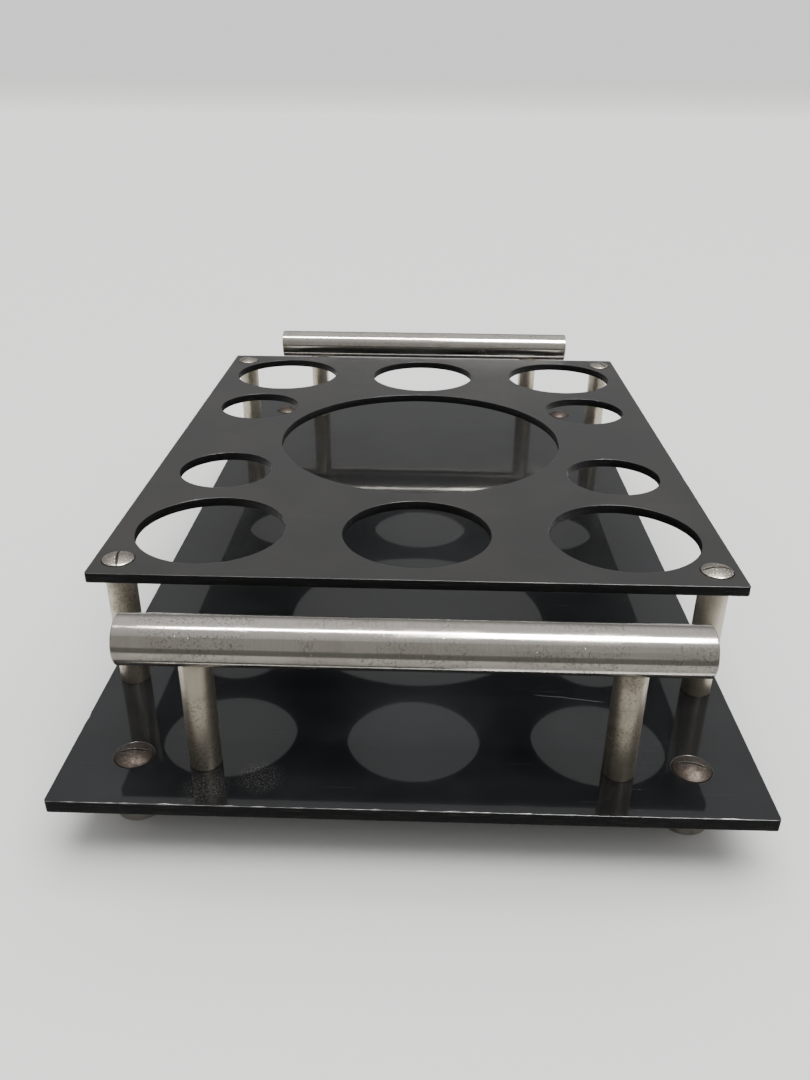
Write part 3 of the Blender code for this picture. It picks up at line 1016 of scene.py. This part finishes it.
class VESSELRACK_OT_deck(bpy.types.Operator):
    """Build the pierced deck."""

    bl_idname = "vessel_rack.deck"
    bl_label = "Pierced deck"

    def execute(self, context):
        sizes, screw = boards(), screws()
        top, bottom = high("top_plate").z, low("top_plate").z
        span_here = span("top_plate")
        outline = rounded_rectangle(span_here.x, span_here.y, sizes.corner_radius,
                                    middle("top_plate").y, 0.003)
        rings = edge_rings(top, bottom, sizes.deck_arris)
        edges = [(outline, rings, False)]
        edges += [(opening, rings, False) for opening in deck_openings()]
        head = span("top_screw_front_left").x + 2 * screw.clearance
        hole = screw.shank + 2 * screw.clearance
        edges += screw_holes("top_screw", hole, head, top, bottom, 0.00012, False)
        swells = [nick_depths(outline, sizes.nick_seed + 1, 0.02, sizes.nick_depth * 0.4)]
        swells += [None] * (len(edges) - 1)
        mesh = sheet_mesh("pierced_deck", edges, swells)
        piece = add_piece("pierced_deck", mesh, finish("deck"), finish("edge"))
        settle(piece, "deck_laminate", "top_plate")
        return {"FINISHED"}


class VESSELRACK_OT_base(bpy.types.Operator):
    """Build the base board."""

    bl_idname = "vessel_rack.base"
    bl_label = "Base board"

    def execute(self, context):
        sizes, screw = boards(), screws()
        top, bottom = high("base_plate").z, low("base_plate").z
        span_here = span("base_plate")
        outline = rounded_rectangle(span_here.x, span_here.y, sizes.corner_radius, 0.0, 0.0012)
        edges = [(outline, edge_rings(top, bottom, sizes.base_arris), False)]
        head = span("foot_screw_front_left").x + 2 * screw.clearance
        hole = screw.shank + 2 * screw.clearance
        edges += screw_holes("foot_screw", hole, head, top, bottom, 0.00030, True)
        for stem, shank in (("post_screw", screw.shank), ("handle_screw", screw.bar_shank)):
            rings = edge_rings(top, bottom, 0.00012, 1)
            edges += [(opening, rings, False)
                      for opening in hole_outlines(shank + 2 * screw.clearance, 40,
                                                   set_spread(stem))]
        swells = [nick_depths(outline, sizes.nick_seed, 0.16, sizes.nick_depth)]
        swells += [None] * (len(edges) - 1)
        mesh = sheet_mesh("base_board", edges, swells)
        piece = add_piece("base_board", mesh, finish("base"), finish("edge"))
        settle(piece, "base_laminate", "base_plate")
        return {"FINISHED"}


class VESSELRACK_OT_posts(bpy.types.Operator):
    """Build the four corner posts."""

    bl_idname = "vessel_rack.posts"
    bl_label = "Corner posts"

    def execute(self, context):
        screw = screws()
        bottom, top = high("base_plate").z, low("top_plate").z
        outer = span("corner_post_front_left").x / 2
        inner = screw.shank / 2 + screw.clearance
        profile = [(inner, bottom), (inner, top), (outer, top), (outer, bottom), (inner, bottom)]
        profile = [tuple(p) for p in eased(profile, 0.00025)][:-1]
        profile = profile[1:]
        four_corners("corner_posts", lathe("post", profile, 96, ring=True), "corner_post",
                     finish("post"), "post_aluminium")
        return {"FINISHED"}


class VESSELRACK_OT_bars(bpy.types.Operator):
    """Build the two handle bars."""

    bl_idname = "vessel_rack.bars"
    bl_label = "Handle bars"

    def execute(self, context):
        screw = screws()
        for label in ("front", "rear"):
            node = "handle_bar_" + label
            centre, size = middle(node), span(node)
            radius, half = size.z / 2, size.x / 2
            profile = eased([(0, half), (radius, half), (radius, -half), (0, -half)], 0.0007, 4)
            profile.insert(1, Vector((radius * 0.5, half)))
            profile.insert(-1, Vector((radius * 0.5, -half)))
            mesh = lathe(node, profile, 160)
            turn = Matrix.Rotation(math.pi / 2, 4, "Y")
            mesh.transform(Matrix.Translation(centre) @ turn)
            for side in ("left", "right"):
                place = middle("handle_screw_" + label + "_" + side)
                end = high("handle_screw_" + label + "_" + side).z + 0.001
                matrix = Matrix.Translation((place.x, place.y, (end + low(node).z) / 2 - 0.002))
                tool = rod_mesh("bar_drill", screw.bar_shank / 2 + screw.clearance,
                                end - low(node).z + 0.004, matrix, 40)
                mesh = cut_away(mesh, tool, node)
            smooth(mesh)
            piece = add_piece("bar_" + label, mesh, finish("bar"))
            settle(piece, "bar_aluminium", node)
        return {"FINISHED"}


class VESSELRACK_OT_standoffs(bpy.types.Operator):
    """Build the four coped stand-offs under the bars."""

    bl_idname = "vessel_rack.standoffs"
    bl_label = "Handle stand-offs"

    def execute(self, context):
        screw = screws()
        node = "handle_standoff_front_left"
        bottom, top = high("base_plate").z, high(node).z + 0.002
        outer = span(node).x / 2
        inner = screw.bar_shank / 2 + screw.clearance
        profile = eased([(inner, top), (outer, top), (outer, bottom), (inner, bottom)], 0.00025)
        mesh = lathe("standoff", [tuple(p) for p in profile], 96, ring=True)
        radius = span("handle_bar_front").z / 2 + 0.00005
        matrix = Matrix.Translation((0, 0, middle("handle_bar_front").z))
        matrix = matrix @ Matrix.Rotation(math.pi / 2, 4, "Y")
        mesh = cut_away(mesh, rod_mesh("cope", radius, 0.04, matrix, 192), "standoff")
        four_corners("handle_standoffs", mesh, "handle_standoff", finish("post"),
                     "post_aluminium")
        return {"FINISHED"}


class VESSELRACK_OT_feet(bpy.types.Operator):
    """Build the four turned feet."""

    bl_idname = "vessel_rack.feet"
    bl_label = "Feet"

    def execute(self, context):
        screw = screws()
        node = "foot_front_left"
        radius, top = span(node).x / 2, low("base_plate").z
        hole = screw.shank / 2 + screw.clearance
        floor = low("foot_screw_front_left").z - 0.001
        profile = eased([(0, floor), (hole, floor), (hole, top), (radius, top),
                         (radius, 0), (0, 0)], 0.0018, 5)
        mesh = lathe("foot", profile, 96)
        four_corners("feet", mesh, "foot", finish("foot"), "foot_aluminium")
        return {"FINISHED"}


def threaded_rows(radius, start, end):
    """Profile points down a threaded stretch, six to a pitch."""
    pitch = screws().pitch
    count = max(2, round((start - end) / pitch * 6))
    return [(radius, start + (end - start) * k / count) for k in range(count + 1)]


def domed_screw(name, head_radius, dome, land, shank_radius, face, tip):
    """Slotted raised head on a countersunk cone; land is how far its rim stands proud."""
    sizes = screws()
    ease, rise = 0.0002, dome - land
    reach = head_radius - ease
    arc_radius = (reach ** 2 + rise ** 2) / (2 * rise)
    sweep, steps = math.asin(reach / arc_radius), 14
    profile = [(0.0, face + dome)]
    for step in range(1, steps + 1):
        turn = sweep * step / steps
        profile.append((arc_radius * math.sin(turn),
                        face + dome - arc_radius * (1 - math.cos(turn))))
    profile += [(head_radius, face + land - ease), (head_radius, face)]
    neck = face - (head_radius - shank_radius)
    profile.append((shank_radius, neck))
    thread_top, thread_end = neck - 0.001, tip + 0.0006
    profile += threaded_rows(shank_radius, thread_top, thread_end)
    profile += [(shank_radius - 0.0006, tip), (0.0, tip)]
    thread = (thread_end, thread_top, sizes.pitch, sizes.thread_depth)
    mesh = lathe(name, profile, 72, thread=thread)
    return slot_head(mesh, name, face + dome, sizes.slot_width, sizes.slot_depth, head_radius)


class VESSELRACK_OT_deck_screws(bpy.types.Operator):
    """Build the four slotted screws that hold the deck."""

    bl_idname = "vessel_rack.deck_screws"
    bl_label = "Deck screws"

    def execute(self, context):
        sizes = screws()
        node = "top_screw_front_left"
        mesh = domed_screw("deck_screw", span(node).x / 2, sizes.deck_dome, DECK_SCREW_LAND,
                           sizes.shank / 2, high("top_plate").z, low(node).z)
        four_corners("deck_screws", mesh, "top_screw", finish("screw"), "screw_steel",
                     DECK_SCREW_TURNS)
        return {"FINISHED"}


class VESSELRACK_OT_foot_screws(bpy.types.Operator):
    """Build the four rusted screws that hold the feet."""

    bl_idname = "vessel_rack.foot_screws"
    bl_label = "Foot screws"

    def execute(self, context):
        sizes = screws()
        node = "foot_screw_front_left"
        mesh = domed_screw("foot_screw", span(node).x / 2, sizes.foot_dome, FOOT_SCREW_LAND,
                           sizes.shank / 2, high("base_plate").z, low(node).z)
        four_corners("foot_screws", mesh, "foot_screw", finish("rust"), "rusty_screw_steel",
                     FOOT_SCREW_TURNS)
        return {"FINISHED"}


class VESSELRACK_OT_hidden_screws(bpy.types.Operator):
    """Build the pan head screws under the base, into the posts and the bars."""

    bl_idname = "vessel_rack.hidden_screws"
    bl_label = "Screws under the base"

    def execute(self, context):
        sizes = screws()
        for stem, diameter in (("post_screw", sizes.shank), ("handle_screw", sizes.bar_shank)):
            node = stem + "_front_left"
            head, shank = span(node).x / 2, diameter / 2
            bottom, top = low(node).z, high(node).z
            under = bottom + sizes.pan_height
            profile = eased([(0, bottom), (head, bottom), (head, under), (shank, under)],
                            0.0012, 5)
            profile = [tuple(p) for p in profile]
            start, end = top - 0.0006, under + 0.002
            rows = threaded_rows(shank, start, end)
            profile += list(reversed(rows)) + [(shank - 0.0006, top), (0.0, top)]
            thread = (end, start, sizes.pitch, sizes.thread_depth)
            mesh = lathe(stem, profile, 60, thread=thread)
            tool = box_mesh(stem + "_saw", (head * 3, sizes.slot_width, sizes.slot_depth * 2),
                            Vector((0, 0, bottom)))
            mesh = cut_away(mesh, tool, stem)
            four_corners(stem + "s", mesh, stem, finish("screw"), "screw_steel",
                         HIDDEN_SCREW_TURNS)
        return {"FINISHED"}


# ---------------------------------------------------------------- stage

def soft_light(name, place, target, size, power, colour=(1.0, 1.0, 1.0)):
    """Rectangular softbox aimed at a point."""
    data = bpy.data.lights.new(name, "AREA")
    data.shape = "RECTANGLE"
    data.size, data.size_y = size
    data.energy = power
    data.color = colour
    item = bpy.data.objects.new(name, data)
    item.location = place
    item.rotation_euler = (Vector(target) - Vector(place)).to_track_quat("-Z", "Y").to_euler()
    item.visible_camera = False
    item.visible_diffuse = False
    bpy.context.scene.collection.objects.link(item)
    return item


class VESSELRACK_OT_stage(bpy.types.Operator):
    """Build the floor, the lights and the camera."""

    bl_idname = "vessel_rack.stage"
    bl_label = "Stage"

    def execute(self, context):
        stage = context.scene.vessel_rack_stage
        self.build_floor()
        self.build_world(stage)
        self.build_flag()
        soft_light("overhead strip", (0.0, -0.375, 2.45), (0.0, -0.375, 0.0), (2.1, 0.21),
                   stage.strip)
        soft_light("overhead panel", (0.70, -0.66, 2.44), (0.70, -0.66, 0.0), (1.05, 0.80),
                   stage.panel)
        soft_light("low strip", (1.10, -2.82, 1.64), (0.50, -0.23, 0.09), (1.2, 0.06),
                   stage.low_strip)
        fill = bpy.data.lights.new("wide fill", "SUN")
        fill.energy = stage.fill
        fill.angle = math.radians(70)
        item = bpy.data.objects.new("wide fill", fill)
        item.rotation_euler = (math.radians(-12), math.radians(8), 0)
        item.visible_glossy = False
        context.scene.collection.objects.link(item)
        camera = bpy.data.cameras.new("rack camera")
        camera.sensor_fit = "VERTICAL"
        camera.sensor_height = 36.0
        camera.lens = stage.lens
        camera.clip_start = 0.01
        item = bpy.data.objects.new("rack camera", camera)
        item.location = stage.camera_place
        item.rotation_euler = stage.camera_turn
        context.scene.collection.objects.link(item)
        context.scene.camera = item
        return {"FINISHED"}

    def build_floor(self):
        """Wide floor that curves up a little far behind."""
        front, back, half, bend = -6.0, 9.0, 9.0, 0.6
        line = [(front, 0.0), (back - bend, 0.0)]
        for step in range(1, 9):
            turn = step / 8 * math.radians(60)
            line.append((back - bend + bend * math.sin(turn), bend - bend * math.cos(turn)))
        work = bmesh.new()
        rows = [[work.verts.new((x, y, z)) for x in (-half, half)] for y, z in line]
        for lower, upper in zip(rows, rows[1:]):
            work.faces.new((lower[0], lower[1], upper[1], upper[0]))
        for face in work.faces:
            face.smooth = True
        mesh = bpy.data.meshes.new("paper_floor")
        work.to_mesh(mesh)
        work.free()
        add_piece("paper_floor", mesh, finish("floor"))

    def build_flag(self):
        """Dark cards in front, seen only in reflections, as a studio hangs for bright metal."""
        edge, near, far, half, lift, height = -0.270, -0.390, -1.15, 2.0, 0.002, 1.00
        for name, (front, back) in (("near_flag", ((edge, lift), (near, lift))),
                                    ("low_flag", ((near, lift), (far, lift))),
                                    ("high_flag", ((far, lift), (far, height)))):
            work = bmesh.new()
            corners = [(-half, *front), (-half, *back), (half, *back), (half, *front)]
            work.faces.new([work.verts.new(corner) for corner in corners])
            mesh = bpy.data.meshes.new(name)
            work.to_mesh(mesh)
            work.free()
            item = add_piece(name, mesh, finish(name))
            item.visible_camera = False
            item.visible_diffuse = False
            item.visible_shadow = False

    def build_world(self, stage):
        """Plain backdrop, and a soft surround that is paler above and beyond the rack."""
        world = bpy.data.worlds.new("pale surround")
        world.use_nodes = True
        tree = world.node_tree
        way = add_node(tree, "ShaderNodeSeparateXYZ",
                       {"Vector": add_node(tree, "ShaderNodeTexCoord").outputs["Generated"]})
        height, depth = way.outputs["Z"], way.outputs["Y"]
        seen = add_node(tree, "ShaderNodeLightPath").outputs["Is Camera Ray"]
        beyond, behind, share = (
            add_node(tree, "ShaderNodeMapRange",
                     {"Value": value, "From Min": start, "From Max": end,
                      "To Min": faint, "To Max": strong},
                     interpolation_type="SMOOTHSTEP").outputs["Result"]
            for value, start, end, faint, strong in (
                (height, 0.20, 0.75, stage.beyond_low, stage.beyond_high),
                (height, 0.15, 0.90, stage.behind_low, stage.behind_high),
                (depth, -0.25, 0.35, 0.0, 1.0)))
        light = add_node(tree, "ShaderNodeMix", {0: share, 2: behind, 3: beyond})
        light = add_node(tree, "ShaderNodeMix", {0: seen, 2: light.outputs[0],
                                                 3: stage.backdrop})
        shader = tree.nodes["Background"]
        shader.inputs["Color"].default_value = (1.0, 1.0, 1.0, 1.0)
        tree.links.new(light.outputs[0], shader.inputs["Strength"])
        bpy.context.scene.world = world


# ---------------------------------------------------------------- panel and registration

BUILD_ORDER = (
    VESSELRACK_OT_base,
    VESSELRACK_OT_deck,
    VESSELRACK_OT_posts,
    VESSELRACK_OT_bars,
    VESSELRACK_OT_standoffs,
    VESSELRACK_OT_feet,
    VESSELRACK_OT_deck_screws,
    VESSELRACK_OT_foot_screws,
    VESSELRACK_OT_hidden_screws,
    VESSELRACK_OT_stage,
)


class VESSELRACK_PT_panel(bpy.types.Panel):
    """Lists the pieces and the settings of the rack."""

    bl_idname = "VESSELRACK_PT_panel"
    bl_label = "Vessel Rack"
    bl_space_type = "VIEW_3D"
    bl_region_type = "UI"
    bl_category = "Vessel Rack"

    def draw(self, context):
        layout = self.layout
        for operator in BUILD_ORDER:
            layout.operator(operator.bl_idname)
        for key, group in SETTINGS.items():
            box = layout.box()
            box.label(text=group.__doc__)
            for name in group.__annotations__:
                box.prop(getattr(context.scene, key), name)


def register():
    """Register the settings, the operators and the panel."""
    for key, group in SETTINGS.items():
        bpy.utils.register_class(group)
        setattr(bpy.types.Scene, key, PointerProperty(type=group))
    for item in (*BUILD_ORDER, VESSELRACK_PT_panel):
        bpy.utils.register_class(item)


def unregister():
    """Take everything back out."""
    for item in reversed((*BUILD_ORDER, VESSELRACK_PT_panel)):
        bpy.utils.unregister_class(item)
    for key, group in SETTINGS.items():
        delattr(bpy.types.Scene, key)
        bpy.utils.unregister_class(group)


def main():
    """Build the whole rack."""
    register()
    bpy.ops.vessel_rack.base()
    bpy.ops.vessel_rack.deck()
    bpy.ops.vessel_rack.posts()
    bpy.ops.vessel_rack.bars()
    bpy.ops.vessel_rack.standoffs()
    bpy.ops.vessel_rack.feet()
    bpy.ops.vessel_rack.deck_screws()
    bpy.ops.vessel_rack.foot_screws()
    bpy.ops.vessel_rack.hidden_screws()
    bpy.ops.vessel_rack.stage()


if __name__ == "__main__":
    main()
